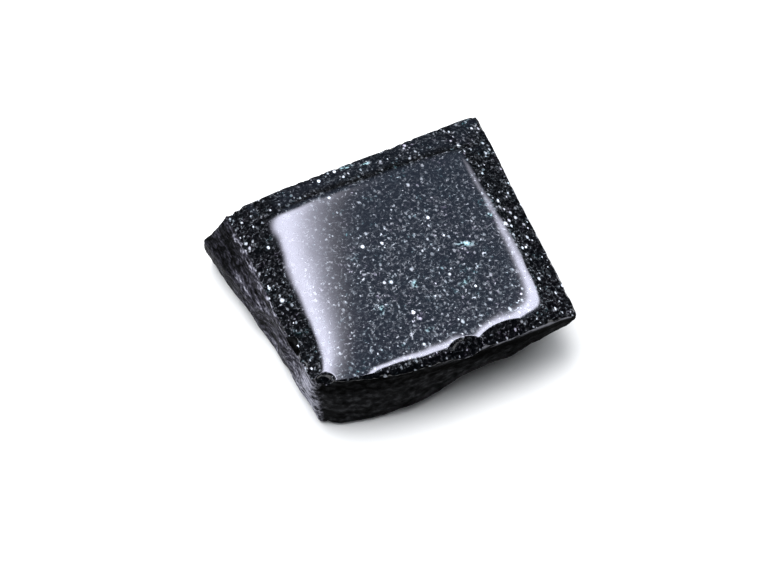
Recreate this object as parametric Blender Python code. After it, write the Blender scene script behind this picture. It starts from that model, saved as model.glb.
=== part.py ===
"""A hematite stone: one broken slab of dark, glittering stone with a polished top.

The top is a polished table that rolls over at its edge into a sloping border. The border ends at a
chipped arris, and below it are four broken sides, a ledge at the back left corner, an undercut at the
front right and a flat underside that the stone rests on.

Run it with: blender --background --python part.py
Every size below is in millimetres. The finished mesh is in metres, +Z up, X along the long back edge.
"""

import math

import bmesh
import bpy
from mathutils import Vector, noise

MM = 0.001

# Mesh density: columns run round the stone, and rings run from the crown down to the underside.
SIDE_COLUMNS = 34
CORNER_COLUMNS = 6
COLUMNS = 4 * (SIDE_COLUMNS + CORNER_COLUMNS)
TABLE_RINGS = 9
BORDER_RINGS = 5
UNDERSIDE_RINGS = 2

# Corners go round the stone from above: back left, front left, front right, back right. A side is
# named after where it faces, so the left side runs from the back left corner to the front left one.
FRONT = 1
CORNER_BLEND = 0.16

# The polished table. Each side of a ring has a bow: how far it bows out, and a skew, which puts the
# bow's middle nearer the side's start when it is under 1 and nearer its end when it is over 1.
CROWN = (1.6, 0.0)
TOP_HEIGHT = 8.3
CROWN_RISE = 0.12
TABLE_REACH = 12.0
TABLE_CORNERS = ((-9.6, 13.2), (-12.9, -10.5), (14.2, -13.4), (15.6, 12.4))
TABLE_RADII = (1.9, 0.6, 1.9, 1.1)
TABLE_BOWS = ((-1.0, 3.0), (1.25, 0.66), (0.35, 1.0), (-0.1, 1.0))
# Each side's edge wanders by this much, over this length.
TABLE_WANDER = (0.15, 0.2, 0.12, 0.2)
WANDER_LENGTH = 2.4
# The table rolls over towards its edge: how far in that starts to show, at each side's start and end,
# and how steep it is at the edge. Past the edge the border falls at its own slope.
ROLL_LENGTHS = ((2.9, 1.0), (0.55, 1.25), (1.0, 0.75), (0.6, 0.7))
ROLL_SLOPES = (0.27, 0.28, 0.25, 0.36)
BORDER_SLOPES = ((0.36, 0.40), (0.55, 0.5), (0.32, 0.2), (0.14, 0.2))
# How far out a border takes to reach its slope, and the share of it that it starts with.
BORDER_EASES = ((0.9, 0.7), (0.2, 1.0), (0.2, 1.0), (0.2, 1.0))
HIP_SHARPNESS = 3.0
# A tongue of the table reaches out over the front side: its place along it, its width and its reach.
TONGUE = (0.675, 0.05, 0.6)
# The front's roll fades out towards the front left corner, between these shares of the side.
ROLL_FADE = (0.17, 0.28)

# The arris is the sharp outer edge of the polished top.
ARRIS_CORNERS = ((-13.1, 15.9), (-13.3, -10.4), (17.1, -14.1), (19.8, 16.3))
ARRIS_RADII = (1.1, 1.0, 0.6, 0.5)
ARRIS_BOWS = ((0.25, 2.0), (1.85, 0.66), (-0.2, 1.0), (-0.5, 1.0))

# The middle of the stone's box, which is its origin.
MIDDLE = (1.88, 1.06)

# The broken sides, from under the arris down to the foot.
BROW_CORNERS = ((-14.2, 15.4, 4.9), (-13.5, -10.6, 5.6), (17.2, -14.0, 5.4), (20.0, 16.2, 5.5))
LEDGE_CORNERS = ((-16.2, 14.9, 4.4), (-13.5, -10.8, 4.4), (17.0, -13.7, 4.6), (19.9, 15.9, 4.4))
KEEL_CORNERS = ((-16.1, 15.0, 2.4), (-13.4, -11.1, 2.2), (16.8, -13.3, 3.6), (19.5, 15.5, 2.4))
TOE_CORNERS = ((-15.5, 15.0, 0.4), (-13.1, -11.3, 0.4), (14.2, -9.3, 0.6), (19.1, 15.2, 0.4))
FOOT_CORNERS = ((-15.0, 14.5, 0.0), (-12.6, -10.9, 0.0), (13.5, -8.4, 0.0), (18.6, 14.7, 0.0))
SIDE_RADII = (0.7, 0.9, 0.7, 0.7)
SIDE_BOWS = ((-0.5, 1.2), (1.7, 0.66), (-0.2, 1.0), (-0.4, 1.0))
TOE_BOWS = ((-0.5, 1.2), (2.55, 0.66), (-0.1, 1.0), (-0.3, 1.0))
FOOT_BOWS = ((-0.5, 1.2), (2.35, 0.66), (-0.1, 1.0), (-0.3, 1.0))
UNDERSIDE_CENTRE = (1.2, 0.6, 0.0)

# The undercut's lip leaves the foot this far along the front side, and reaches its height here.
LIP_START = 0.4
LIP_FULL = 0.64
LIP_LOW = 1.1
LIP_HEIGHT = 3.1

# How many rings each part of the side is made of, and how rough its lower edge is, from 0 to 1.
ARRIS_ROUGHNESS = 0.25
BROW_RINGS, BROW_ROUGHNESS = 2, 1.0
LEDGE_RINGS, LEDGE_ROUGHNESS = 2, 1.0
KEEL_RINGS, KEEL_ROUGHNESS = 3, 1.0
TOE_RINGS, TOE_ROUGHNESS = 3, 0.6
FOOT_RINGS, FOOT_ROUGHNESS = 1, 0.3

# Fracture waves: their length and depth, from coarse to fine.
FRACTURE_WAVES = ((7.0, 0.34), (2.6, 0.22), (1.1, 0.10))
# The left side broke in long flakes: their length along it, their height and their depth.
FLAKES = ((6.0, 1.3, 0.5),)

# Scallops out of the top's edge: the centre of the sphere that each one is a part of, and its radius.
SCALLOPS = (
    ((3.5, -14.4, 8.9), 2.33),
    ((8.7, -19.05, 20.0), 13.78),
    ((-2.4, -15.2, 9.2), 2.0),
    ((20.0, 2.4, 10.4), 3.8),
)
# Deeper bites out of it.
BITES = (
    ((-12.35, -10.85, 8.05), 1.12),
    ((-13.3, -4.1, 7.2), 0.85),
    ((-13.9, -5.3, 7.6), 1.2),
)
# Larger hollows in the broken sides.
SIDE_CHIPS = (
    ((-15.9, -5.4, 5.2), 3.2),
    ((-16.4, 4.6, 7.8), 3.6),
    ((-17.0, 10.6, 8.8), 4.0),
    ((-18.6, 0.2, 3.4), 5.4),
    ((24.4, 8.5, 3.2), 5.6),
    ((22.8, -4.8, 4.6), 5.2),
    ((6.5, 21.8, 4.0), 6.3),
    ((-6.0, 20.6, 2.6), 5.4),
    ((15.0, 20.0, 3.6), 4.5),
    ((6.2, -19.7, 1.0), 6.4),
    ((13.0, -18.8, 0.2), 5.8),
    ((-7.0, -18.6, 4.6), 5.6),
)

STONE_COLOUR = (0.012, 0.014, 0.02, 1.0)
POLISH_ROUGHNESS = 0.15
SHARP_ANGLE = math.radians(35.0)


def ease(value):
    """A smooth step from 0 to 1."""
    value = min(1.0, max(0.0, value))
    return value * value * (3.0 - 2.0 * value)


def from_to(ends, share):
    """A value this share of the way from the first of two ends to the second."""
    return ends[0] * (1.0 - share) + ends[1] * share


def spot(column):
    """The quarter of the stone a column is in, whether it is in its corner, and how far along that."""
    quarter, place = divmod(column, SIDE_COLUMNS + CORNER_COLUMNS)
    if place < CORNER_COLUMNS:
        return quarter, True, place / CORNER_COLUMNS
    return quarter, False, (place - CORNER_COLUMNS) / SIDE_COLUMNS


def side_mix(values, column):
    """A value that each side has its own of, blended round the corners."""
    turn = (column - CORNER_COLUMNS / 2) / (SIDE_COLUMNS + CORNER_COLUMNS)
    side = math.floor(turn)
    along = turn - side
    before = 0.5 - 0.5 * ease(along / CORNER_BLEND)
    after = 0.5 * ease((along - 1.0) / CORNER_BLEND + 1.0)
    here = 1.0 - before - after
    return values[(side - 1) % 4] * before + values[side % 4] * here + values[(side + 1) % 4] * after


def outward(start, end):
    """The level direction that points out of a side, square to it."""
    run = (end - start).normalized()
    return Vector((run.y, -run.x, 0.0))


def bow_out(start, end, along, bow):
    """A point along a side that bows outward."""
    amount, skew = bow
    return start.lerp(end, along) + outward(start, end) * amount * math.sin(math.pi * along**skew)


def ring_point(corners, radii, bows, column):
    """A point of a four-cornered ring that has rounded corners and bowed sides."""
    quarter, in_corner, along = spot(column)
    before, here, after = (Vector(corners[(quarter + step) % 4]).to_3d() for step in (-1, 0, 1))
    leave = here + (after - here).normalized() * radii[quarter]
    if in_corner:
        arrive = here + (before - here).normalized() * radii[quarter]
        return arrive.lerp(here, along).lerp(here.lerp(leave, along), along)
    end = after + (here - after).normalized() * radii[(quarter + 1) % 4]
    return bow_out(leave, end, along, bows[quarter])


def ring(corners, radii, bows):
    return [ring_point(corners, radii, bows, column) for column in range(COLUMNS)]


def side_inset(point, side):
    """How far a point lies inside one side of the table's outline, and how far along that side."""
    start, end = (Vector(TABLE_CORNERS[(side + step) % 4]).to_3d() for step in (0, 1))
    run = end - start
    along = min(1.0, max(0.0, (point - start).dot(run) / run.length_squared))
    edge = bow_out(start, end, along, TABLE_BOWS[side])
    wander = noise.noise(Vector((point.x, point.y, 10.0 * side)) / WANDER_LENGTH) * TABLE_WANDER[side]
    if side == FRONT:
        place, width, reach = TONGUE
        wander += reach * math.exp(-(((along - place) / width) ** 2))
    return (edge - point).dot(outward(start, end)) + wander, along


def border_run(outset, side):
    """How far a point lies out on a border, less what the border's slow start takes off."""
    if outset <= 0.0:
        return 0.0
    length, start = BORDER_EASES[side]
    return outset - (1.0 - start) * length * (1.0 - math.exp(-outset / length))


def top_height(point):
    """The height of the polished top at a point: a low dome, rolled edges and sloping borders."""
    out = Vector((point.x - CROWN[0], point.y - CROWN[1])).length / TABLE_REACH
    drop = CROWN_RISE * out**2
    fall = 0.0
    for side in range(4):
        inset, along = side_inset(point, side)
        length = from_to(ROLL_LENGTHS[side], along)
        slope = ROLL_SLOPES[side]
        if side == FRONT:
            slope *= ease((along - ROLL_FADE[0]) / (ROLL_FADE[1] - ROLL_FADE[0]))
        drop += length * slope * math.exp(-max(inset, 0.0) / length)
        fall += (from_to(BORDER_SLOPES[side], along) * border_run(-inset, side)) ** HIP_SHARPNESS
    return TOP_HEIGHT - drop - fall ** (1.0 / HIP_SHARPNESS)


def raised(point):
    return Vector((point.x, point.y, top_height(point)))


def lip_height(column, level):
    """The height of the undercut's lip on the front side. Elsewhere the keel stays as it is."""
    quarter, in_corner, along = spot(column)
    if quarter != FRONT or in_corner:
        return level
    climbed = LIP_LOW + (LIP_HEIGHT - LIP_LOW) * ease((along - LIP_START) / (LIP_FULL - LIP_START))
    start = level + (LIP_LOW - level) * ease(along / LIP_START)
    finish = climbed + (level - climbed) * ease((along - LIP_FULL) / (1.0 - LIP_FULL))
    return start if along < LIP_START else finish


def keel_ring():
    """The stone's widest ring low on its sides, which is the undercut's lip at the front right."""
    points = ring(KEEL_CORNERS, SIDE_RADII, SIDE_BOWS)
    for column, point in enumerate(points):
        point.z = lip_height(column, point.z)
    return points


def between(upper, lower, steps):
    """The rings under an upper one, down to and including the lower one."""
    return [[a.lerp(b, step / steps) for a, b in zip(upper, lower)] for step in range(1, steps + 1)]


def top_rings():
    """The polished top's rings, from the crown's first one out to the arris, with their roughness."""
    edge = ring(TABLE_CORNERS, TABLE_RADII, TABLE_BOWS)
    arris = ring(ARRIS_CORNERS, ARRIS_RADII, ARRIS_BOWS)
    crown = Vector((*CROWN, 0.0))
    stack = []
    for step in range(1, TABLE_RINGS + 1):
        share = 1.0 - (1.0 - step / TABLE_RINGS) ** 2
        stack.append(([raised(crown.lerp(outer, share)) for outer in edge], 0.0))
    for step, points in enumerate(between(edge, arris, BORDER_RINGS), 1):
        roughness = ARRIS_ROUGHNESS * (step / BORDER_RINGS) ** 3
        stack.append(([raised(point) for point in points], roughness))
    return stack


def stacked_rings():
    """Every ring from the crown down to the underside, each with its fracture roughness."""
    stack = top_rings()
    underside = [Vector(UNDERSIDE_CENTRE)] * COLUMNS
    stations = (
        (ring(BROW_CORNERS, SIDE_RADII, SIDE_BOWS), BROW_RINGS, BROW_ROUGHNESS),
        (ring(LEDGE_CORNERS, SIDE_RADII, SIDE_BOWS), LEDGE_RINGS, LEDGE_ROUGHNESS),
        (keel_ring(), KEEL_RINGS, KEEL_ROUGHNESS),
        (ring(TOE_CORNERS, SIDE_RADII, TOE_BOWS), TOE_RINGS, TOE_ROUGHNESS),
        (ring(FOOT_CORNERS, SIDE_RADII, FOOT_BOWS), FOOT_RINGS, FOOT_ROUGHNESS),
        (underside, UNDERSIDE_RINGS + 1, 0.0),
    )
    for lower, steps, roughness in stations:
        upper, upper_roughness = stack[-1]
        for step, points in enumerate(between(upper, lower, steps), 1):
            stack.append((points, upper_roughness + (roughness - upper_roughness) * step / steps))
    return stack[:-1]


def fracture_depth(point, leftness):
    """How far the fracture stands out of the side at a point."""
    depth = sum(noise.noise(point / length) * amount for length, amount in FRACTURE_WAVES)
    for length, height, flake_depth in FLAKES:
        place = Vector((point.x / height, point.y / length, point.z / height))
        depth += leftness * flake_depth * (0.3 - abs(noise.noise(place)))
    return depth


def side_direction(column):
    """The level direction out of the stone at a column."""
    corners = [Vector((x, y, 0.0)) for x, y in ARRIS_CORNERS]
    directions = [outward(corners[side], corners[(side + 1) % 4]) for side in range(4)]
    return side_mix(directions, column).normalized()


def chipped(point):
    """A point moved out of each side hollow's sphere, then down out of each scallop's."""
    for centre, radius in SIDE_CHIPS:
        away = point - Vector(centre)
        if away.length < radius:
            point = Vector(centre) + away.normalized() * radius
    for centre, radius in SCALLOPS + BITES:
        away = (point - Vector(centre)).to_2d().length
        if away < radius:
            point.z = min(point.z, centre[2] - math.sqrt(radius**2 - away**2))
    return point


def stone_points():
    """The stone's points as rings, from the crown's first ring to the last one of the underside."""
    leftness = [side_mix((1.0, 0.0, 0.0, 0.0), column) for column in range(COLUMNS)]
    directions = [side_direction(column) for column in range(COLUMNS)]
    rings = []
    for points, roughness in stacked_rings():
        rough = [
            point + directions[column] * fracture_depth(point, leftness[column]) * roughness
            for column, point in enumerate(points)
        ]
        rings.append([chipped(point) if point.z > 0.0 else point for point in rough])
    return rings


def wrap(mesh, rings):
    """Moves a sphere's vertices on to the rings, its poles on to the crown and the underside."""
    count = len(rings) + 1
    for vertex in mesh.verts:
        turn = math.atan2(vertex.co.y, vertex.co.x) / math.tau
        column = round(turn * COLUMNS) % COLUMNS
        depth = round(math.acos(max(-1.0, min(1.0, vertex.co.z))) / math.pi * count)
        if depth == 0:
            vertex.co = raised(Vector((*CROWN, 0.0)))
        elif depth == count:
            vertex.co = UNDERSIDE_CENTRE
        else:
            vertex.co = rings[depth - 1][column]


def stone_material():
    material = bpy.data.materials.new("dark_glittering_stone")
    material.use_nodes = True
    shader = material.node_tree.nodes["Principled BSDF"]
    shader.inputs["Base Color"].default_value = STONE_COLOUR
    shader.inputs["Roughness"].default_value = POLISH_ROUGHNESS
    shader.inputs["Metallic"].default_value = 0.0
    return material


def make_stone():
    rings = stone_points()
    mesh = bmesh.new()
    bmesh.ops.create_uvsphere(mesh, u_segments=COLUMNS, v_segments=len(rings) + 1, radius=1.0)
    wrap(mesh, rings)
    bmesh.ops.translate(mesh, verts=mesh.verts, vec=(-MIDDLE[0], -MIDDLE[1], 0.0))
    bmesh.ops.scale(mesh, verts=mesh.verts, vec=(MM, MM, MM))
    data = bpy.data.meshes.new("stone")
    mesh.to_mesh(data)
    mesh.free()
    data.shade_smooth()
    data.set_sharp_from_angle(angle=SHARP_ANGLE)
    data.materials.append(stone_material())
    stone = bpy.data.objects.new("stone", data)
    bpy.context.scene.collection.objects.link(stone)


def main():
    for leftover in list(bpy.data.objects):
        bpy.data.objects.remove(leftover)
    make_stone()


main()
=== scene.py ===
"""The looks of the hematite stone: its fine broken sides, its polish and its glitter.

The stone is shaped again here from the same rings as its solid, with more rings and columns, finer
fracture and small nicks along its edges. Lengths are in millimetres, and the finished mesh is in metres.
"""

import math
import random
from collections import namedtuple

import bmesh
import bpy
import numpy as np
from mathutils import Matrix, Vector, noise


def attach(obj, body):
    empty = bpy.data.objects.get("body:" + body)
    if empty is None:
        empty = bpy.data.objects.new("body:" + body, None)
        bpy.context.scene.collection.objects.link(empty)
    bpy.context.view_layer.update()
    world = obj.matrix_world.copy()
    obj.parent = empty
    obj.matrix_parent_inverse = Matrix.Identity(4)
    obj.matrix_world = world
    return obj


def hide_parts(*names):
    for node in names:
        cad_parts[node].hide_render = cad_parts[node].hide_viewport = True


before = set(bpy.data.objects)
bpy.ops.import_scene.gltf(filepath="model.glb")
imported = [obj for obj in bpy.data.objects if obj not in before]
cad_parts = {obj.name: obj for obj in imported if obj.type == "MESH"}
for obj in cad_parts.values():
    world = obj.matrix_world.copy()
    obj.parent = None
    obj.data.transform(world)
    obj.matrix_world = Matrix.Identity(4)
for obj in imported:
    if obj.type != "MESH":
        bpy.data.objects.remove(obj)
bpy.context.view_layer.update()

MM = 0.001

# Mesh density: columns run round the stone, and rings run from the crown down to the underside.
SIDE_COLUMNS = 108
CORNER_COLUMNS = 20
COLUMNS = 4 * (SIDE_COLUMNS + CORNER_COLUMNS)
TABLE_RINGS = 64
BORDER_RINGS = 24
UNDERSIDE_RINGS = 5

# Corners go round the stone from above: back left, front left, front right, back right. A side is
# named after where it faces, so the left side runs from the back left corner to the front left one.
LEFT, FRONT, BACK = 0, 1, 3
CORNER_BLEND = 0.16

# The polished table. Each side of a ring has a bow: how far it bows out, and a skew, which puts the
# bow's middle nearer the side's start when it is under 1 and nearer its end when it is over 1.
CROWN = (1.6, 0.0)
TOP_HEIGHT = 8.3
CROWN_RISE = 0.12
TABLE_REACH = 12.0
TABLE_CORNERS = ((-9.6, 13.2), (-12.9, -10.5), (14.2, -13.4), (15.6, 12.4))
TABLE_RADII = (1.9, 0.6, 1.9, 1.1)
TABLE_BOWS = ((-1.0, 3.0), (1.25, 0.66), (0.35, 1.0), (-0.1, 1.0))
# Each side's edge wanders by this much, over this length. The sides' noises lie this far apart.
TABLE_WANDER = (0.15, 0.2, 0.12, 0.2)
WANDER_LENGTH = 2.4
WANDER_APART = 10.0
# The table rolls over towards its edge: how far in that starts to show, at each side's start and end,
# and how steep it is at the edge. Past the edge the border falls at its own slope.
ROLL_LENGTHS = ((2.9, 1.0), (0.55, 1.25), (1.0, 0.75), (0.6, 0.7))
ROLL_SLOPES = (0.27, 0.28, 0.25, 0.36)
BORDER_SLOPES = ((0.36, 0.40), (0.55, 0.5), (0.32, 0.2), (0.14, 0.2))
# How far out a border takes to reach its slope, and the share of it that it starts with.
BORDER_EASES = ((0.9, 0.7), (0.2, 1.0), (0.2, 1.0), (0.2, 1.0))
HIP_SHARPNESS = 3.0
# A tongue of the table reaches out over the front side: its place along it, its width and its reach.
TONGUE = (0.675, 0.05, 0.6)
# The front's roll fades out towards the front left corner, between these shares of the side.
ROLL_FADE = (0.17, 0.28)
# The painted shade of the crease just outside the table's back edge, a dark line: its width, how far out
# it lies, and the shares of the side over which it comes in and goes out, up to its end.
CREASE_WIDTH = 0.45
CREASE_SHIFT = 0.18
CREASE_IN, CREASE_OUT, CREASE_END = 0.1, 0.2, 0.92
# Painted glare of the left roll's highlight: its flecks are dim from just inside its edge to this many
# roll lengths in, and the dimming fades out over the last of them.
CALM_START = 0.3
CALM_EASE = 0.4
CALM_REACH = 2.5
CALM_FADE = 1.6

# The arris is the sharp outer edge of the polished top.
ARRIS_CORNERS = ((-13.1, 15.9), (-13.3, -10.4), (17.1, -14.1), (19.8, 16.3))
ARRIS_RADII = (1.1, 1.0, 0.6, 0.5)
ARRIS_BOWS = ((0.25, 2.0), (1.85, 0.66), (-0.2, 1.0), (-0.5, 1.0))

# The middle of the stone's box, which is its origin.
MIDDLE = (1.88, 1.06)

# The broken sides, from under the arris down to the foot.
BROW_CORNERS = ((-14.2, 15.4, 4.9), (-13.5, -10.6, 5.6), (17.2, -14.0, 5.4), (20.0, 16.2, 5.5))
LEDGE_CORNERS = ((-16.2, 14.9, 4.4), (-13.5, -10.8, 4.4), (17.0, -13.7, 4.6), (19.9, 15.9, 4.4))
KEEL_CORNERS = ((-16.1, 15.0, 2.4), (-13.4, -11.1, 2.2), (16.8, -13.3, 3.6), (19.5, 15.5, 2.4))
TOE_CORNERS = ((-15.5, 15.0, 0.4), (-13.1, -11.3, 0.4), (14.2, -9.3, 0.6), (19.1, 15.2, 0.4))
FOOT_CORNERS = ((-15.0, 14.5, 0.0), (-12.6, -10.9, 0.0), (13.5, -8.4, 0.0), (18.6, 14.7, 0.0))
SIDE_RADII = (0.7, 0.9, 0.7, 0.7)
SIDE_BOWS = ((-0.5, 1.2), (1.7, 0.66), (-0.2, 1.0), (-0.4, 1.0))
TOE_BOWS = ((-0.5, 1.2), (2.55, 0.66), (-0.1, 1.0), (-0.3, 1.0))
FOOT_BOWS = ((-0.5, 1.2), (2.35, 0.66), (-0.1, 1.0), (-0.3, 1.0))
UNDERSIDE_CENTRE = (1.2, 0.6, 0.0)

# The undercut's lip leaves the foot this far along the front side, and reaches its height here.
LIP_START = 0.4
LIP_FULL = 0.64
LIP_LOW = 1.1
LIP_HEIGHT = 3.1

# How many rings each part of the side is made of, and how rough its lower edge is, from 0 to 1.
ARRIS_ROUGHNESS = 0.25
BROW_RINGS, BROW_ROUGHNESS = 12, 1.0
LEDGE_RINGS, LEDGE_ROUGHNESS = 8, 1.0
KEEL_RINGS, KEEL_ROUGHNESS = 14, 1.0
TOE_RINGS, TOE_ROUGHNESS = 14, 0.6
FOOT_RINGS, FOOT_ROUGHNESS = 3, 0.3

# Fracture waves: their length and depth, from coarse to fine.
FRACTURE_WAVES = ((7.0, 0.34), (2.6, 0.22), (1.1, 0.10), (0.45, 0.05), (0.2, 0.02))
# The left side broke in long flakes: their length along it, their height and their depth. A noise
# shapes them: they stand out of the side where it is nearer to 0 than their crest is.
FLAKES = ((6.0, 1.3, 0.5), (2.6, 0.5, 0.22))
FLAKE_CREST = 0.3

# Scallops out of the top's edge: the centre of the sphere that each one is a part of, and its radius.
SCALLOPS = (
    ((3.5, -14.4, 8.9), 2.33),
    ((8.7, -19.05, 20.0), 13.78),
    ((-2.4, -15.2, 9.2), 2.0),
    ((20.0, 2.4, 10.4), 3.8),
    ((-12.35, -10.85, 8.05), 1.12),
)
# Deeper bites out of it, whose insides take the dark dull finish as painted shade.
BITES = (
    ((-13.3, -4.1, 7.2), 0.85),
    ((-13.9, -5.3, 7.6), 1.2),
)
# Larger hollows in the broken sides.
SIDE_CHIPS = (
    ((-15.9, -5.4, 5.2), 3.2),
    ((-16.4, 4.6, 7.8), 3.6),
    ((-17.0, 10.6, 8.8), 4.0),
    ((-18.6, 0.2, 3.4), 5.4),
    ((24.4, 8.5, 3.2), 5.6),
    ((22.8, -4.8, 4.6), 5.2),
    ((6.5, 21.8, 4.0), 6.3),
    ((-6.0, 20.6, 2.6), 5.4),
    ((15.0, 20.0, 3.6), 4.5),
    ((6.2, -19.7, 1.0), 6.4),
    ((13.0, -18.8, 0.2), 5.8),
    ((-7.0, -18.6, 4.6), 5.6),
)
# Small nicks along the arris: how many on each side, and their smallest and largest radius.
NICKS = ((16, 0.5, 1.0), (22, 0.25, 0.6), (26, 0.2, 0.55), (26, 0.2, 0.6))
NICK_SEED = 5
# How steeply a nick's centre rises out of the arris in degrees, and how far out it is, in radii.
NICK_RISE = (15.0, 65.0)
NICK_REACH = (0.55, 0.8)

# The polish breaks off raggedly over this share of the border, and loses this much of itself by the
# arris. On the left side it loses more: at its start, and at its end.
POLISH_EDGE = 0.4
POLISH_LOSS = 0.38
LEFT_LOSSES = (1.0, 0.5)
# Painted highlight line under the front arris: how many rings down it lies, where along the side it comes
# in.
LINE_RINGS = 1.5
LINE_START = 0.38
LINE_EASE = 0.25
ARRIS_HIGHLIGHT_COLOUR = (0.24, 0.24, 0.27, 1.0)

# How strongly the stone bends light, and how rough and how glossy each of its finishes is.
STONE_IOR = 1.55
POLISH_ROUGHNESS, POLISH_GLOSS = 0.08, 0.5
FLAKE_ROUGHNESS, FLAKE_GLOSS = 0.5, 0.05
MATTE_ROUGHNESS, MATTE_GLOSS = 0.6, 0.005
# Most noise in the finishes has a size in each direction, and a number of finer layers over that.
Noise = namedtuple("Noise", "size detail")

# The polished stone between its flecks.
STONE_BLACK = (0.0005, 0.0006, 0.001, 1.0)
# The finest flecks run together as a grain: its size, middling brightness and contrast, and its noise.
GRAIN_SIZE = 0.37
GRAIN_LEVEL = 0.0095
GRAIN_CONTRAST = 17.5
GRAIN_NOISE = {"Scale": 1.0 / GRAIN_SIZE, "Detail": 2.0, "Roughness": 0.6, "Distortion": 0.7}
# How much of the grain the border has, how much less bright the flecks can get in the left side's roll,
# as painted glare of its highlight, and how much they dim inside a scallop.
BORDER_GRAIN = 0.5
ROLL_CALM = 0.93
SCALLOP_DIM = 0.6
# How much the flecks dim towards the back and the left, and over which stretch they do. Painted shade
# dims the front border over a stretch to the front and another to the tip, where both have come in.
BACK_DIM, BACK_STRETCH = 0.42, (0.0, 9.0)
LEFT_DIM, LEFT_STRETCH = 0.25, (-3.0, -10.0)
FRONT_SHADE, FRONT_STRETCH, TIP_STRETCH = 0.8, (-10.3, -11.6), (5.0, -4.0)
# Each layer of flecks has its cell's size, its turn and stretch, the share of its cells that hold a
# fleck, a fleck's reach in cells, how the flecks' brightness is spread, and how strong they are on the
# table and on the border.
FleckLayer = namedtuple("FleckLayer", "cell turn stretch share reach contrast strength border_strength")
FLECK_LAYERS = (
    FleckLayer(0.50, (0.7, 0.3, 2.2), (1.0, 0.6, 1.0), 0.7, 0.42, 1.2, 0.28, 1.15),
    FleckLayer(0.80, (0.2, 0.1, 0.4), (1.0, 0.7, 1.0), 0.7, 0.34, 2.0, 0.8, 1.9),
    FleckLayer(1.60, (0.4, 0.9, 0.2), (1.0, 0.8, 1.0), 0.5, 0.2, 1.0, 1.5, 1.8),
)
# The smallest fleck's share of its layer's reach, and the share of a fleck that is fully bright.
FLECK_LEAST = 0.3
FLECK_CORE = 0.4
# A noise pushes the flecks out of round: how far it pushes them in each direction, and its sockets.
FLECK_WOBBLE = (0.22, 0.22, 0.22)
WOBBLE_NOISE = {"Scale": 3.5, "Detail": 1.0}
# The few flecks that show in the dull broken sides.
SIDE_FLECKS = FleckLayer(0.9, (0.5, 0.2, 0.7), (1.0, 0.8, 1.0), 0.35, 0.16, 2.0, 0.5, 0.5)
SIDE_FLECK_COLOUR = (0.55, 0.62, 0.70, 1.0)
# The flecks are silver, with patches of teal and of lilac. A coarse noise for patches and a fine one
# for single flecks add up to their tint, by these parts.
TINT_PATCHES, TINT_PATCH_PART = Noise((2.2, 2.2, 2.2), 2.0), 0.75
TINT_SINGLES, TINT_SINGLE_PART = Noise((0.35, 0.35, 0.35), 0.0), 0.5
TINT_OFFSET = 0.12
TINT_STOPS = (
    (0.22, (0.25, 0.66, 0.76)),
    (0.36, (0.76, 0.87, 1.0)),
    (0.62, (0.86, 0.89, 1.0)),
    (0.78, (0.80, 0.72, 1.0)),
)
# Where flecks shine together: each place, its turn in degrees, and half its length and width.
GLINTS = (
    (9.6, -1.1, -20.0, 1.7, 0.6),
    (2.1, -3.7, 60.0, 0.8, 0.6),
    (7.2, -5.8, 10.0, 1.3, 0.5),
    (14.0, 1.4, 0.0, 0.7, 0.5),
    (-2.7, -5.2, 70.0, 1.1, 0.4),
    (0.9, -9.8, 0.0, 0.8, 0.4),
    (2.2, 15.2, 0.0, 1.4, 0.5),
    (4.5, 14.6, 0.0, 0.9, 0.4),
)
# A glint comes in from its rim to its core, and shows in threads, where their noise is high.
GLINT_RIM, GLINT_CORE = 1.0, 0.2
GLINT_THREADS, THREAD_EDGE = Noise((0.35, 0.35, 0.35), 1.0), (0.48, 0.62)
GLINT_COLOUR = (0.45, 0.85, 0.92, 1.0)
GLINT_STRENGTH = 0.45
GLINT_TINT = 0.8

# The left side: its flakes, the grain on them and its pits, and their parts in its tone.
FLAKE_STREAKS, FLAKE_PART = Noise((0.5, 2.6, 0.4), 5.0), 0.6
FLAKE_GRAIN, FLAKE_GRAIN_PART = Noise((0.18, 0.6, 0.15), 4.0), 0.55
PITS, PIT_EDGE, PIT_PART = Noise((0.5, 1.3, 0.4), 3.0), (0.44, 0.33), 0.08
FLAKE_OFFSET = 0.075
FLAKE_CONTRAST, FLAKE_DARKNESS = 2.4, 0.30
# Painted sheen and shade: pale at its front end, it darkens to its middle, and again to its back end.
MIDDLE_SHADE, MIDDLE_STRETCH = 0.35, (-11.0, -1.0)
BACK_SHADE, BACK_END_STRETCH = 0.18, (2.0, 12.0)
# Painted highlights lie in pale patches close under its arris, away from the tip, standing in for lit
# ledges.
LEDGE_HIGHLIGHT, LEDGE_RISE, LEDGE_STRETCH = 0.36, (5.3, 6.3), (-8.0, -4.0)
LEDGE_PATCHES, LEDGE_EDGE = Noise((0.8, 1.5, 0.6), 4.0), (0.50, 0.60)
FLAKE_STOPS = (
    (0.20, (0.001, 0.001, 0.001)),
    (0.38, (0.008, 0.008, 0.010)),
    (0.60, (0.030, 0.029, 0.038)),
    (0.80, (0.112, 0.110, 0.136)),
    (1.00, (0.340, 0.340, 0.400)),
)
FLAKE_BUMP = {"Strength": 0.9, "Distance": 0.8 * MM}

# The other broken sides: their grain, and the painted shade that darkens them to the right and up to the
# arris.
MATTE_GRAIN = Noise((0.9, 0.9, 0.6), 8.0)
RIGHT_SHADE, RIGHT_STRETCH = 0.12, (-2.0, 10.0)
BROW_SHADE, BROW_RISE = 0.16, (4.6, 6.4)
MATTE_STOPS = (
    (0.30, (0.001, 0.001, 0.001)),
    (0.50, (0.0095, 0.0097, 0.0103)),
    (0.70, (0.036, 0.0365, 0.039)),
)
MATTE_BUMP = {"Strength": 0.6, "Distance": 0.4 * MM}
# What breaks up the painted highlight line and the flecks there.
BREAKS, BREAK_EDGE = Noise((1.6, 1.6, 0.5), 3.0), (0.36, 0.60)

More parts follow.
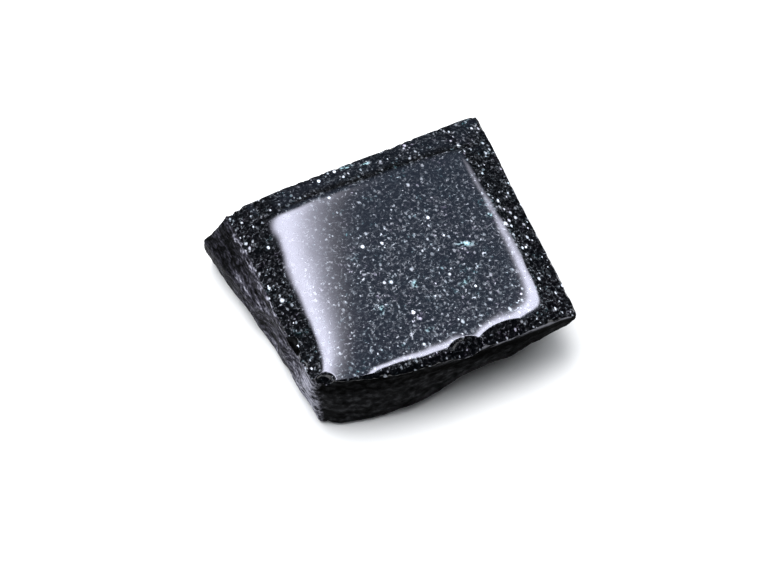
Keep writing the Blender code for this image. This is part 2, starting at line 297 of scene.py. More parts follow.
# Where one finish gives way to another, noise makes the boundary ragged: the noise, its strength, and
# the values between which the one goes over to the other.
SIDE_NOISE, SIDE_RAGGED, SIDE_TURN = Noise((0.9, 0.9, 0.6), 4.0), 0.9, (0.32, 0.70)
EDGE_NOISE, EDGE_RAGGED, EDGE_TURN = Noise((0.5, 0.5, 0.5), 3.0), 0.9, (0.80, 0.95)
# How much of the polish the crease takes away, which paints shade into it with the dark dull finish.
CREASE_SHADE = 0.7

# The floor, which reaches this many metres to each side.
FLOOR_REACH = 3.0
FLOOR_COLOUR = (0.82, 0.82, 0.82, 1.0)
FLOOR_ROUGHNESS = 0.9

# The camera looks down at the stone from its front left.
CAMERA_TURN = math.radians(-25.3)
CAMERA_RISE = math.radians(55.0)
CAMERA_LENS = 100.0
CAMERA_SENSOR = 36.0
CAMERA_DISTANCE = 242.0
CAMERA_AIM = (0.0, 0.0, 4.0)
# The nearest and farthest that it sees, in metres.
CAMERA_CLIPS = (0.01, 20.0)

# The studio's directions are seen from the camera: right of the stone, away behind it, and up.
CAMERA_RIGHT = Vector((math.cos(CAMERA_TURN), math.sin(CAMERA_TURN), 0.0))
CAMERA_AWAY = Vector((-math.sin(CAMERA_TURN), math.cos(CAMERA_TURN), 0.0))

# A soft panel overhead lights the dull sides and casts the shadow: its direction, its upper side's
# direction, its distance and side in metres, and its radiance.
OVERHEAD_SIDE = (-0.24, 0.32, 1.0)
OVERHEAD_UP = (0.0, 1.0, 0.0)
OVERHEAD_DISTANCE = 0.6
OVERHEAD_SIZE = 0.5
OVERHEAD_GLOW = 5.8
# The room lights them too, and is brightest on this side. Its glow rises from the least by so much,
# as a direction's share towards that side goes from the one value to the other.
FILL_SIDE = (-0.45, 0.80, 0.45)
FILL_SHARES = (-0.35, 0.75)
FILL_LEAST, FILL_RISE = 0.03, 1.95
FILL_COLOUR = (0.93, 0.96, 1.0, 1.0)
# The polish mirrors another room, a dim one with lit panels. Across and along are how far a direction
# goes right and up from the one in which a level polish mirrors the camera's view. A panel has its
# lowest and highest across, its lowest and highest along, how far it feathers out past each of them,
# and its glow.
Panel = namedtuple("Panel", "limits feathers glow")
LEFT_PANEL = Panel((-0.3, -0.24, -0.12, 0.32), (0.105, 0.215, 0.12, 0.1), 18.0)
RIGHT_PANEL = Panel((0.22, 0.31, -0.04, 0.34), (0.08, 0.03, 0.22, 0.06), 19.0)
VEIL = Panel((-0.25, 0.22, -0.15, 0.22), (0.15, 0.1, 0.4, 0.15), 0.72)
ROOM_GLOW = 0.015
# The right panel leans and bows, by these parts of across, of along and of along squared.
RIGHT_LEAN = (0.976, 0.219, 1.0)
PANEL_COLOUR = (0.81, 0.82, 1.0, 1.0)
VEIL_COLOUR = (0.5, 0.65, 1.0, 1.0)


def ease(value):
    """A smooth step from 0 to 1."""
    value = min(1.0, max(0.0, value))
    return value * value * (3.0 - 2.0 * value)


def from_to(ends, share):
    """A value this share of the way from the first of two ends to the second."""
    return ends[0] * (1.0 - share) + ends[1] * share


def spot(column):
    """The quarter of the stone a column is in, whether it is in its corner, and how far along that."""
    quarter, place = divmod(column, SIDE_COLUMNS + CORNER_COLUMNS)
    if place < CORNER_COLUMNS:
        return quarter, True, place / CORNER_COLUMNS
    return quarter, False, (place - CORNER_COLUMNS) / SIDE_COLUMNS


def side_mix(values, column):
    """A value that each side has its own of, blended round the corners."""
    turn = (column - CORNER_COLUMNS / 2) / (SIDE_COLUMNS + CORNER_COLUMNS)
    side = math.floor(turn)
    along = turn - side
    before = 0.5 - 0.5 * ease(along / CORNER_BLEND)
    after = 0.5 * ease((along - 1.0) / CORNER_BLEND + 1.0)
    here = 1.0 - before - after
    return values[(side - 1) % 4] * before + values[side % 4] * here + values[(side + 1) % 4] * after


def outward(start, end):
    """The level direction that points out of a side, square to it."""
    run = (end - start).normalized()
    return Vector((run.y, -run.x, 0.0))


def bow_out(start, end, along, bow):
    """A point along a side that bows outward."""
    amount, skew = bow
    return start.lerp(end, along) + outward(start, end) * amount * math.sin(math.pi * along**skew)


def ring_point(corners, radii, bows, column):
    """A point of a four-cornered ring that has rounded corners and bowed sides."""
    quarter, in_corner, along = spot(column)
    before, here, after = (Vector(corners[(quarter + step) % 4]).to_3d() for step in (-1, 0, 1))
    leave = here + (after - here).normalized() * radii[quarter]
    if in_corner:
        arrive = here + (before - here).normalized() * radii[quarter]
        return arrive.lerp(here, along).lerp(here.lerp(leave, along), along)
    end = after + (here - after).normalized() * radii[(quarter + 1) % 4]
    return bow_out(leave, end, along, bows[quarter])


def ring(corners, radii, bows):
    """A four-cornered ring's points, one for each column."""
    return [ring_point(corners, radii, bows, column) for column in range(COLUMNS)]


def side_inset(point, side):
    """How far a point lies inside one side of the table's outline, and how far along that side."""
    start, end = (Vector(TABLE_CORNERS[(side + step) % 4]).to_3d() for step in (0, 1))
    run = end - start
    along = min(1.0, max(0.0, (point - start).dot(run) / run.length_squared))
    edge = bow_out(start, end, along, TABLE_BOWS[side])
    place = Vector((point.x, point.y, WANDER_APART * side)) / WANDER_LENGTH
    wander = noise.noise(place) * TABLE_WANDER[side]
    if side == FRONT:
        middle, width, reach = TONGUE
        wander += reach * math.exp(-(((along - middle) / width) ** 2))
    return (edge - point).dot(outward(start, end)) + wander, along


def border_run(outset, side):
    """How far a point lies out on a border, less what the border's slow start takes off."""
    if outset <= 0.0:
        return 0.0
    length, start = BORDER_EASES[side]
    return outset - (1.0 - start) * length * (1.0 - math.exp(-outset / length))


def top_height(point):
    """The height of the polished top at a point: a low dome, rolled edges and sloping borders."""
    out = Vector((point.x - CROWN[0], point.y - CROWN[1])).length / TABLE_REACH
    drop = CROWN_RISE * out**2
    fall = 0.0
    for side in range(4):
        inset, along = side_inset(point, side)
        length = from_to(ROLL_LENGTHS[side], along)
        slope = ROLL_SLOPES[side]
        if side == FRONT:
            slope *= ease((along - ROLL_FADE[0]) / (ROLL_FADE[1] - ROLL_FADE[0]))
        drop += length * slope * math.exp(-max(inset, 0.0) / length)
        fall += (from_to(BORDER_SLOPES[side], along) * border_run(-inset, side)) ** HIP_SHARPNESS
    return TOP_HEIGHT - drop - fall ** (1.0 / HIP_SHARPNESS)


def raised(point):
    """The point of the polished top above or below this one."""
    return Vector((point.x, point.y, top_height(point)))


def lip_height(column, level):
    """The height of the undercut's lip on the front side. Elsewhere the keel stays as it is."""
    quarter, in_corner, along = spot(column)
    if quarter != FRONT or in_corner:
        return level
    climbed = LIP_LOW + (LIP_HEIGHT - LIP_LOW) * ease((along - LIP_START) / (LIP_FULL - LIP_START))
    start = level + (LIP_LOW - level) * ease(along / LIP_START)
    finish = climbed + (level - climbed) * ease((along - LIP_FULL) / (1.0 - LIP_FULL))
    return start if along < LIP_START else finish


def keel_ring():
    """The stone's widest ring low on its sides, which is the undercut's lip at the front right."""
    points = ring(KEEL_CORNERS, SIDE_RADII, SIDE_BOWS)
    for column, point in enumerate(points):
        point.z = lip_height(column, point.z)
    return points


def between(upper, lower, steps):
    """The rings under an upper one, down to and including the lower one."""
    return [[a.lerp(b, step / steps) for a, b in zip(upper, lower)] for step in range(1, steps + 1)]


def top_rings():
    """The polished top's rings, from the crown's first one out to the arris, with their roughness."""
    edge = ring(TABLE_CORNERS, TABLE_RADII, TABLE_BOWS)
    arris = ring(ARRIS_CORNERS, ARRIS_RADII, ARRIS_BOWS)
    crown = Vector((*CROWN, 0.0))
    stack = []
    for step in range(1, TABLE_RINGS + 1):
        share = 1.0 - (1.0 - step / TABLE_RINGS) ** 2
        stack.append(([raised(crown.lerp(outer, share)) for outer in edge], 0.0))
    for step, points in enumerate(between(edge, arris, BORDER_RINGS), 1):
        roughness = ARRIS_ROUGHNESS * (step / BORDER_RINGS) ** 3
        stack.append(([raised(point) for point in points], roughness))
    return stack


def stacked_rings():
    """Every ring from the crown down to the underside, each with its fracture roughness."""
    stack = top_rings()
    underside = [Vector(UNDERSIDE_CENTRE)] * COLUMNS
    stations = (
        (ring(BROW_CORNERS, SIDE_RADII, SIDE_BOWS), BROW_RINGS, BROW_ROUGHNESS),
        (ring(LEDGE_CORNERS, SIDE_RADII, SIDE_BOWS), LEDGE_RINGS, LEDGE_ROUGHNESS),
        (keel_ring(), KEEL_RINGS, KEEL_ROUGHNESS),
        (ring(TOE_CORNERS, SIDE_RADII, TOE_BOWS), TOE_RINGS, TOE_ROUGHNESS),
        (ring(FOOT_CORNERS, SIDE_RADII, FOOT_BOWS), FOOT_RINGS, FOOT_ROUGHNESS),
        (underside, UNDERSIDE_RINGS + 1, 0.0),
    )
    for lower, steps, roughness in stations:
        upper, upper_roughness = stack[-1]
        for step, points in enumerate(between(upper, lower, steps), 1):
            stack.append((points, upper_roughness + (roughness - upper_roughness) * step / steps))
    return stack[:-1]


def fracture_depth(point, leftness):
    """How far the fracture stands out of the side at a point."""
    depth = sum(noise.noise(point / length) * amount for length, amount in FRACTURE_WAVES)
    for length, height, flake_depth in FLAKES:
        place = Vector((point.x / height, point.y / length, point.z / height))
        depth += leftness * flake_depth * (FLAKE_CREST - abs(noise.noise(place)))
    return depth


def side_direction(column):
    """The level direction out of the stone at a column."""
    corners = [Vector((x, y, 0.0)) for x, y in ARRIS_CORNERS]
    directions = [outward(corners[side], corners[(side + 1) % 4]) for side in range(4)]
    return side_mix(directions, column).normalized()


def nicks(arris):
    """The hollow spheres of the small nicks along the arris."""
    draw = random.Random(NICK_SEED)
    spheres = []
    for side, (count, smallest, largest) in enumerate(NICKS):
        for _ in range(count):
            column = int((side + draw.random()) * (SIDE_COLUMNS + CORNER_COLUMNS))
            radius = draw.uniform(smallest, largest)
            rise = math.radians(draw.uniform(*NICK_RISE))
            out = side_direction(column) * math.cos(rise) + Vector((0.0, 0.0, math.sin(rise)))
            spheres.append((arris[column] + out * radius * draw.uniform(*NICK_REACH), radius))
    return spheres


def chip(points, spheres):
    """Moves each point that lies inside a sphere on to it."""
    for centre, radius in spheres:
        away = points - np.array(centre)
        length = np.linalg.norm(away, axis=2)
        inside = (length < radius) & (points[:, :, 2] > 0.0)
        points[inside] = np.array(centre) + away[inside] * (radius / length[inside])[:, None]


def table_masks(points):
    """For each point, from 0 to 1: the crease's painted shade at the table's back edge, and its left
    roll's calm.
    """
    crease, calm = (np.zeros(points.shape[:2]) for _ in range(2))
    for row, column in np.ndindex(TABLE_RINGS + BORDER_RINGS, COLUMNS):
        point = Vector((points[row, column, 0], points[row, column, 1], 0.0))
        inset, along = side_inset(point, BACK)
        fade = ease((CREASE_END - along) / CREASE_OUT) * ease(along / CREASE_IN)
        crease[row, column] = math.exp(-(((inset + CREASE_SHIFT) / CREASE_WIDTH) ** 2)) * fade
        inset, along = side_inset(point, LEFT)
        if row < TABLE_RINGS:
            depth = inset / from_to(ROLL_LENGTHS[LEFT], along)
            start = ease((inset - CALM_START) / CALM_EASE)
            calm[row, column] = start * ease((CALM_REACH - depth) / CALM_FADE)
    return crease, calm


def scallop(points, spheres):
    """Lowers each point that pokes into a sphere on to its underside, and says which ones moved."""
    moved = np.zeros(points.shape[:2], bool)
    for centre, radius in spheres:
        away = np.linalg.norm(points[:, :, :2] - np.array(centre[:2]), axis=2)
        underside = centre[2] - np.sqrt(np.maximum(radius**2 - away**2, 0.0))
        inside = (away < radius) & (points[:, :, 2] > underside)
        points[inside, 2] = underside[inside]
        moved |= inside
    return moved


def polish_loss(column):
    """How much of the polish is gone at the arris, from 0 to 1."""
    along = (column - CORNER_COLUMNS / 2) / (SIDE_COLUMNS + CORNER_COLUMNS)
    left = from_to(LEFT_LOSSES, min(abs(along), 4.0 - along, 1.0))
    return side_mix((left, POLISH_LOSS, POLISH_LOSS, POLISH_LOSS), column)


def arris_highlight_line(rows):
    """The painted highlight line just under the front arris, strongest at its right end, from 0 to 1."""
    line = np.zeros((rows, COLUMNS))
    for row, column in np.ndindex(rows, COLUMNS):
        quarter, in_corner, along = spot(column)
        if quarter != FRONT or in_corner:
            continue
        below = (row - TABLE_RINGS - BORDER_RINGS + 1) / LINE_RINGS
        line[row, column] = math.exp(-((below - 1.0) ** 2)) * ease((along - LINE_START) / LINE_EASE)
    return line


def shape_stone():
    """The stone's points by ring and column, and the masks that its finish follows."""
    leftness = [side_mix((1.0, 0.0, 0.0, 0.0), column) for column in range(COLUMNS)]
    directions = [side_direction(column) for column in range(COLUMNS)]
    stack = stacked_rings()
    arris = stack[TABLE_RINGS + BORDER_RINGS - 1][0]
    rings = []
    for points, roughness in stack:
        if roughness > 0.0:
            points = [
                point + directions[column] * fracture_depth(point, leftness[column]) * roughness
                for column, point in enumerate(points)
            ]
        rings.append([tuple(point) for point in points])
    points = np.array(rings)
    chip(points, SIDE_CHIPS)
    chip(points, nicks(arris))
    chipped = scallop(points, SCALLOPS)
    bitten = scallop(points, BITES)
    crease, calm = table_masks(points)
    table = np.zeros(points.shape[:2])
    table[:TABLE_RINGS] = 1.0
    polish = table.copy()
    for step in range(1, BORDER_RINGS + 1):
        outer = ease(1.0 + (step / BORDER_RINGS - 1.0) / POLISH_EDGE)
        polish[TABLE_RINGS + step - 1] = [1.0 - outer * polish_loss(column) for column in range(COLUMNS)]
    # Painted shade: inside the bites neither the polish nor the left side's finish shows, only the dark
    # matte one.
    unshaded = 1.0 - bitten
    masks = {
        "polish": polish * unshaded,
        "table": table,
        "crease": crease,
        "calm": calm,
        "chip": chipped * 1.0,
        "line": arris_highlight_line(len(rings)),
        "left": np.tile(leftness, (len(rings), 1)) * unshaded,
    }
    return points, masks


def wrap(mesh, points):
    """Moves a sphere's vertices on to the rings, and gives each vertex's ring and column."""
    count = len(points) + 1
    places = []
    for vertex in mesh.verts:
        turn = math.atan2(vertex.co.y, vertex.co.x) / math.tau
        column = round(turn * COLUMNS) % COLUMNS
        depth = round(math.acos(max(-1.0, min(1.0, vertex.co.z))) / math.pi * count)
        if depth == 0:
            vertex.co = raised(Vector((*CROWN, 0.0)))
        elif depth == count:
            vertex.co = UNDERSIDE_CENTRE
        else:
            vertex.co = points[depth - 1][column]
        places.append((min(max(depth, 1), count - 1) - 1, column))
    return places


def make_stone(material):
    """The stone's fine skin, from a sphere that is moved on to its rings."""
    points, masks = shape_stone()
    mesh = bmesh.new()
    bmesh.ops.create_uvsphere(mesh, u_segments=COLUMNS, v_segments=len(points) + 1, radius=1.0)
    places = wrap(mesh, points)
    bmesh.ops.translate(mesh, verts=mesh.verts, vec=(-MIDDLE[0], -MIDDLE[1], 0.0))
    bmesh.ops.scale(mesh, verts=mesh.verts, vec=(MM, MM, MM))
    data = bpy.data.meshes.new("stone_fine")
    mesh.to_mesh(data)
    mesh.free()
    for name, mask in masks.items():
        layer = data.attributes.new(name, "FLOAT", "POINT")
        layer.data.foreach_set("value", [mask[place] for place in places])
    data.shade_smooth()
    data.materials.append(material)
    piece = bpy.data.objects.new("stone_fine", data)
    bpy.context.scene.collection.objects.link(piece)
    return piece


class Signal:
    """A socket's value in a material or a world, which plain arithmetic works on."""

    def __init__(self, socket):
        self.socket = socket

    def math(self, operation, *values):
        """A Math node on these values, or on this signal alone."""
        inputs = dict(enumerate(values or (self,)))
        return add_node(self.socket.id_data, "ShaderNodeMath", {"operation": operation}, inputs)

    def __add__(self, other):
        return self.math("ADD", self, other)

    def __radd__(self, other):
        return self.math("ADD", other, self)

    def __sub__(self, other):
        return self.math("SUBTRACT", self, other)

    def __rsub__(self, other):
        return self.math("SUBTRACT", other, self)

    def __mul__(self, other):
        return self.math("MULTIPLY", self, other)

    def __rmul__(self, other):
        return self.math("MULTIPLY", other, self)

    def __pow__(self, other):
        return self.math("POWER", self, other)

    def __gt__(self, other):
        return self.math("GREATER_THAN", self, other)

    def __lt__(self, other):
        return self.math("LESS_THAN", self, other)

    def at_most(self, other):
        return self.math("MINIMUM", self, other)


def add_node(tree, kind, settings=None, inputs=None, output=0):
    """Adds a node of any type: its settings first, then the values or links of its sockets."""
    node = tree.nodes.new(kind)
    for name, value in (settings or {}).items():
        if name == "stops":
            set_stops(node.color_ramp, value)
        else:
            setattr(node, name, value)
    for name, value in (inputs or {}).items():
        if isinstance(value, Signal):
            tree.links.new(value.socket, node.inputs[name])
        else:
            node.inputs[name].default_value = value
    return Signal(node.outputs[output]) if node.outputs else None


def set_stops(ramp, stops):
    """Gives a ramp these stops, each a place and a colour."""
    while len(ramp.elements) < len(stops):
        ramp.elements.new(1.0)
    for element, (place, colour) in zip(ramp.elements, stops):
        element.position = place
        element.color = (*colour, 1.0)


def smooth_range(value, low, high):
    """A smooth step of a value, from 0 at low to 1 at high, where low may be the greater."""
    sockets = {"Value": value, "From Min": low, "From Max": high}
    settings = {"interpolation_type": "SMOOTHSTEP"}
    return add_node(value.socket.id_data, "ShaderNodeMapRange", settings, sockets)


def blend(mask, under, over):
    """A colour, which goes from one to the other as the mask goes from 0 to 1."""
    inputs = {0: mask, 6: under, 7: over}
    return add_node(mask.socket.id_data, "ShaderNodeMix", {"data_type": "RGBA"}, inputs, 2)


def attribute(tree, name):
    """A number that the mesh holds for each of its points."""
    return add_node(tree, "ShaderNodeAttribute", {"attribute_name": name}, output="Fac")


def vector_math(tree, operation, first, second, third=None, output=0):
    """A Vector Math node on two or three vectors."""
    inputs = {0: first, 1: second}
    if third is not None:
        inputs[2] = third
    return add_node(tree, "ShaderNodeVectorMath", {"operation": operation}, inputs, output)


def ramp_colour(tree, value, stops):
    """The colour that a ramp with these stops gives a value."""
    return add_node(tree, "ShaderNodeValToRGB", {"stops": stops}, {"Fac": value}, "Color")


def ripples(tree, place, pattern):
    """A noise of this pattern, which lies about 0.5."""
    scale = [1.0 / length for length in pattern.size]
    sized = add_node(tree, "ShaderNodeMapping", None, {"Vector": place, "Scale": scale})
    inputs = {"Vector": sized, "Scale": 1.0, "Detail": pattern.detail}
    return add_node(tree, "ShaderNodeTexNoise", None, inputs)


def axis(tree, place, name):
    """How far a place lies along the X, Y or Z axis."""
    return add_node(tree, "ShaderNodeSeparateXYZ", None, {0: place}, name)


def principled(tree, colour, roughness, gloss, normal=None):
    """A finish of the stone."""
    inputs = {"Base Color": colour, "Roughness": roughness, "Specular IOR Level": gloss, "IOR": STONE_IOR}
    if normal is not None:
        inputs["Normal"] = normal
    return add_node(tree, "ShaderNodeBsdfPrincipled", None, inputs)


def mix_shader(tree, mask, under, over):
    """A surface, which goes from one to the other as the mask goes from 0 to 1."""
    return add_node(tree, "ShaderNodeMixShader", None, {0: mask, 1: under, 2: over})


def flecks(tree, place, layer):
    """One layer of flecks: how bright it makes a point, where each fleck has a brightness of its own."""
    scale = [stretch / layer.cell for stretch in layer.stretch]
    laid = {"Vector": place, "Rotation": layer.turn, "Scale": scale}
    turned = add_node(tree, "ShaderNodeMapping", None, laid)
    distance = add_node(tree, "ShaderNodeTexVoronoi", None, {"Vector": turned, "Scale": 1.0})
    chance = Signal(distance.socket.node.outputs["Color"])
    held = add_node(tree, "ShaderNodeSeparateColor", None, {"Color": chance})
    size, shine = (Signal(held.socket.node.outputs[name]) for name in ("Green", "Blue"))
    reach = (size * (1.0 - FLECK_LEAST) + FLECK_LEAST) * layer.reach
    inside = smooth_range(distance, reach, reach * FLECK_CORE)
    strength = attribute(tree, "table") * (layer.strength - layer.border_strength) + layer.border_strength
    return inside * (held < layer.share) * (shine**layer.contrast) * strength


def fleck_tint(tree, place):
    """The flecks' colour: silver, with patches of teal and of lilac."""
    patches = ripples(tree, place, TINT_PATCHES)
    singles = ripples(tree, place, TINT_SINGLES)
    mood = patches * TINT_PATCH_PART + singles * TINT_SINGLE_PART - TINT_OFFSET
    return ramp_colour(tree, mood, TINT_STOPS)


def glints(tree, place):
    """Patches where the flecks shine together, from 0 to 1."""
    total = 0.0
    for x, y, turn, length, width in GLINTS:
        away = vector_math(tree, "SUBTRACT", place, (x - MIDDLE[0], y - MIDDLE[1], 0.0))
        turned = {"Vector": away, "Rotation": (0.0, 0.0, -math.radians(turn))}
        laid = add_node(tree, "ShaderNodeMapping", None, turned)
        sized = vector_math(tree, "MULTIPLY", laid, (1.0 / length, 1.0 / width, 0.0))
        reach = add_node(tree, "ShaderNodeVectorMath", {"operation": "LENGTH"}, {0: sized}, "Value")
        total = smooth_range(reach, GLINT_RIM, GLINT_CORE) + total
    return total


def polished_finish(tree, place):
    """The glassy top: near black, full of flecks that lie at all depths."""
    wobble = add_node(tree, "ShaderNodeTexNoise", None, {"Vector": place, **WOBBLE_NOISE}, "Color")
    pushed = vector_math(tree, "MULTIPLY_ADD", wobble, FLECK_WOBBLE, place)
    grain = add_node(tree, "ShaderNodeTexNoise", None, {"Vector": place, **GRAIN_NOISE})
    table = attribute(tree, "table")
    density = table * (1.0 - BORDER_GRAIN) + BORDER_GRAIN
    across, along = (axis(tree, place, name) for name in "XY")
    left_dim = smooth_range(across, *LEFT_STRETCH) * LEFT_DIM
    # Painted shade on the front border: its flecks and grain are dimmed there.
    front = smooth_range(along, *FRONT_STRETCH) * smooth_range(across, *TIP_STRETCH)
    front_shade = front * (1.0 - table) * FRONT_SHADE
    fleck_dim = smooth_range(along, *BACK_STRETCH) * BACK_DIM + left_dim * table + front_shade
    grain_dim = table * fleck_dim + front_shade
    shine = ((grain - 0.5) * GRAIN_CONTRAST).math("EXPONENT")
    glitter = shine * density * (1.0 - grain_dim) * GRAIN_LEVEL
    for layer in FLECK_LAYERS:
        glitter += flecks(tree, pushed, layer) * (1.0 - fleck_dim)
    glint = glints(tree, place)
    threads = ripples(tree, place, GLINT_THREADS)
    glitter += smooth_range(threads, *THREAD_EDGE) * glint * GLINT_STRENGTH
    kept = glitter * (1.0 - attribute(tree, "chip") * SCALLOP_DIM)
    # Painted glare: the flecks are capped under the left roll's highlight band.
    shown = kept.at_most(1.0 - attribute(tree, "calm") * ROLL_CALM)
    tint = blend((glint * GLINT_TINT).at_most(1.0), fleck_tint(tree, place), GLINT_COLOUR)
    colour = blend(shown, STONE_BLACK, tint)
    return principled(tree, colour, POLISH_ROUGHNESS, POLISH_GLOSS)


def broken_finish(tree, place):
    """The left side: long flakes in greys, half glossy, with painted sheen, shade and highlights."""
    flakes = ripples(tree, place, FLAKE_STREAKS)
    grain = ripples(tree, place, FLAKE_GRAIN)
    pits = smooth_range(ripples(tree, place, PITS), *PIT_EDGE)
    tone = flakes * FLAKE_PART + grain * FLAKE_GRAIN_PART - FLAKE_OFFSET - pits * PIT_PART
    along, up = (axis(tree, place, name) for name in "YZ")
    # Painted sheen and shade along the side: pale at the front end, darker to the middle and the back.
    middle = smooth_range(along, *MIDDLE_STRETCH) * MIDDLE_SHADE
    shade = middle + smooth_range(along, *BACK_END_STRETCH) * BACK_SHADE
    # Painted highlight: pale patches under the arris, standing in for lit ledges.
    ledge_highlight = smooth_range(up, *LEDGE_RISE) * smooth_range(along, *LEDGE_STRETCH)
    patch = smooth_range(ripples(tree, place, LEDGE_PATCHES), *LEDGE_EDGE)
    lit = tone * FLAKE_CONTRAST - FLAKE_DARKNESS - shade + ledge_highlight * patch * LEDGE_HIGHLIGHT
    colour = ramp_colour(tree, lit, FLAKE_STOPS)
    bump = add_node(tree, "ShaderNodeBump", None, {"Height": tone, **FLAKE_BUMP})
    return principled(tree, colour, FLAKE_ROUGHNESS, FLAKE_GLOSS, bump)


def matte_finish(tree, place):
    """The other sides: a dull, dark break with a few flecks."""
    grain = ripples(tree, place, MATTE_GRAIN)
    across, up = (axis(tree, place, name) for name in "XZ")
    # Painted shade: darker to the right and up towards the arris.
    shade = smooth_range(across, *RIGHT_STRETCH) * RIGHT_SHADE
    lit = grain - shade - smooth_range(up, *BROW_RISE) * BROW_SHADE
    colour = ramp_colour(tree, lit, MATTE_STOPS)
    broken = smooth_range(ripples(tree, place, BREAKS), *BREAK_EDGE)
    # Painted highlight: a pale line under the front arris, where its edge catches the light.
    colour = blend(attribute(tree, "line") * broken, colour, ARRIS_HIGHLIGHT_COLOUR)
    specks = (flecks(tree, place, SIDE_FLECKS) * broken).at_most(1.0)
    colour = blend(specks, colour, SIDE_FLECK_COLOUR)
    bump = add_node(tree, "ShaderNodeBump", None, {"Height": grain, **MATTE_BUMP})
    return principled(tree, colour, MATTE_ROUGHNESS, MATTE_GLOSS, bump)


def stone_material():
    """The stone's material. The mesh's masks say which finish shows where."""
    material = bpy.data.materials.new("glittering_stone")
    material.use_nodes = True
    tree = material.node_tree
    tree.nodes.clear()
    coordinates = add_node(tree, "ShaderNodeTexCoord", output="Object")
    scaled = {0: coordinates, "Scale": 1.0 / MM}
    place = add_node(tree, "ShaderNodeVectorMath", {"operation": "SCALE"}, scaled)
    wander = ripples(tree, place, SIDE_NOISE) - 0.5
    left = smooth_range(attribute(tree, "left") + wander * SIDE_RAGGED, *SIDE_TURN)
    side = mix_shader(tree, left, matte_finish(tree, place), broken_finish(tree, place))
    ragged = attribute(tree, "polish") + ripples(tree, place, EDGE_NOISE) * EDGE_RAGGED
    polish = smooth_range(ragged, *EDGE_TURN)
    # Painted shade: the crease takes the polish away and shows the dark dull finish there.
    unshaded = 1.0 - attribute(tree, "crease") * CREASE_SHADE
    surface = mix_shader(tree, polish * unshaded, side, polished_finish(tree, place))
    add_node(tree, "ShaderNodeOutputMaterial", None, {"Surface": surface})
    return material


def make_floor():
    """The plain pale floor, which mirrors nothing."""
    material = bpy.data.materials.new("pale_floor")
    material.use_nodes = True
    shader = material.node_tree.nodes["Principled BSDF"]
    shader.inputs["Base Color"].default_value = FLOOR_COLOUR
    shader.inputs["Roughness"].default_value = FLOOR_ROUGHNESS
    shader.inputs["Specular IOR Level"].default_value = 0.0
    mesh = bmesh.new()
    bmesh.ops.create_grid(mesh, x_segments=1, y_segments=1, size=FLOOR_REACH)
    data = bpy.data.meshes.new("floor")
    mesh.to_mesh(data)
    mesh.free()
    data.materials.append(material)
    floor = bpy.data.objects.new("floor", data)
    bpy.context.scene.collection.objects.link(floor)


def studio_direction(right, away, up):
    """A direction that is given as the camera sees it, in the stone's own frame."""
    return (CAMERA_RIGHT * right + CAMERA_AWAY * away + Vector((0.0, 0.0, up))).normalized()


def aimed(location, target, up):
    """The matrix of something at a place that looks at a target, with this direction up."""
    back = (location - target).normalized()
    right = up.cross(back).normalized()
    turn = Matrix((right, back.cross(right), back)).transposed()
    return Matrix.Translation(location) @ turn.to_4x4()


def make_light():
    """The soft panel overhead, which the polish doesn't mirror."""
    data = bpy.data.lights.new("overhead_fill", "AREA")
    data.shape = "RECTANGLE"
    data.size = OVERHEAD_SIZE
    data.size_y = OVERHEAD_SIZE
    data.energy = OVERHEAD_GLOW * math.pi * OVERHEAD_SIZE**2
    lamp = bpy.data.objects.new("overhead_fill", data)
    centre = Vector((0.0, 0.0, CAMERA_AIM[2] * MM))
    place = centre + studio_direction(*OVERHEAD_SIDE) * OVERHEAD_DISTANCE
    lamp.matrix_world = aimed(place, centre, studio_direction(*OVERHEAD_UP))
    lamp.visible_camera = False
    lamp.visible_glossy = False
    bpy.context.scene.collection.objects.link(lamp)


def lit_panel(across, along, panel):
    """A panel's glow: full inside its four limits, and none past them by its feathers."""
    left, right, low, high = panel.limits
    past_left, past_right, past_low, past_high = panel.feathers
    sides = smooth_range(across, left - past_left, left) * smooth_range(across, right + past_right, right)
    ends = smooth_range(along, low - past_low, low) * smooth_range(along, high + past_high, high)
    return sides * ends * panel.glow


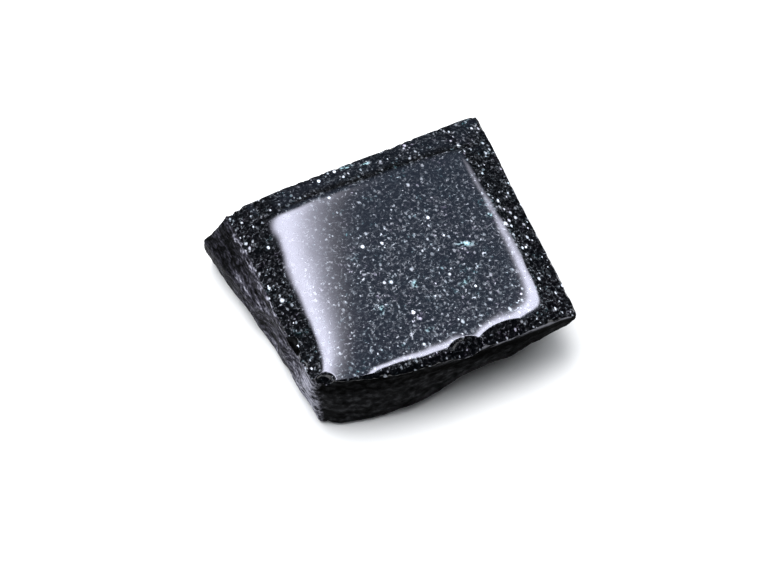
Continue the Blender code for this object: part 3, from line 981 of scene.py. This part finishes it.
def make_world():
    """A bright room that lights the stone, and a dim one with lit panels that its polish mirrors."""
    world = bpy.data.worlds.new("studio")
    bpy.context.scene.world = world
    world.use_nodes = True
    tree = world.node_tree
    tree.nodes.clear()
    direction = add_node(tree, "ShaderNodeTexCoord", output="Generated")

    def share(right, away, up):
        """How far the direction goes towards this one."""
        side = studio_direction(right, away, up)
        return vector_math(tree, "DOT_PRODUCT", direction, side, output="Value")

    level, rise = math.cos(CAMERA_RISE), math.sin(CAMERA_RISE)
    across = share(1.0, 0.0, 0.0)
    along = share(0.0, -rise, level)
    ahead = share(0.0, level, rise) > 0.0
    leant = across * RIGHT_LEAN[0] + along * RIGHT_LEAN[1] + along * along * RIGHT_LEAN[2]
    panels = lit_panel(across, along, LEFT_PANEL) + lit_panel(leant, along, RIGHT_PANEL)
    shown = panels * ahead
    colour = blend(shown.at_most(1.0), VEIL_COLOUR, PANEL_COLOUR)
    glow = shown + lit_panel(across, along, VEIL) * ahead + ROOM_GLOW
    mirrored = add_node(tree, "ShaderNodeBackground", None, {"Color": colour, "Strength": glow})
    fill_glow = smooth_range(share(*FILL_SIDE), *FILL_SHARES) * FILL_RISE + FILL_LEAST
    fill_inputs = {"Color": FILL_COLOUR, "Strength": fill_glow}
    fill = add_node(tree, "ShaderNodeBackground", None, fill_inputs)
    by_mirror = add_node(tree, "ShaderNodeLightPath", output="Is Glossy Ray")
    studio = mix_shader(tree, by_mirror, fill, mirrored)
    add_node(tree, "ShaderNodeOutputWorld", None, {"Surface": studio})


def make_camera():
    """The camera, at the photograph's viewing angle."""
    data = bpy.data.cameras.new("camera")
    data.lens = CAMERA_LENS
    data.sensor_width = CAMERA_SENSOR
    data.clip_start, data.clip_end = CAMERA_CLIPS
    camera = bpy.data.objects.new("camera", data)
    target = (Vector(CAMERA_AIM) - Vector((*MIDDLE, 0.0))) * MM
    level = math.cos(CAMERA_RISE)
    toward = studio_direction(0.0, -level, math.sin(CAMERA_RISE))
    camera.matrix_world = aimed(target + toward * CAMERA_DISTANCE * MM, target, Vector((0.0, 0.0, 1.0)))
    bpy.context.scene.collection.objects.link(camera)
    bpy.context.scene.camera = camera


def main():
    make_camera()
    make_world()
    make_light()
    make_floor()
    bpy.context.scene.view_settings.view_transform = "Standard"
    stone = make_stone(stone_material())
    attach(stone, "root")
    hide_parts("stone")


main()
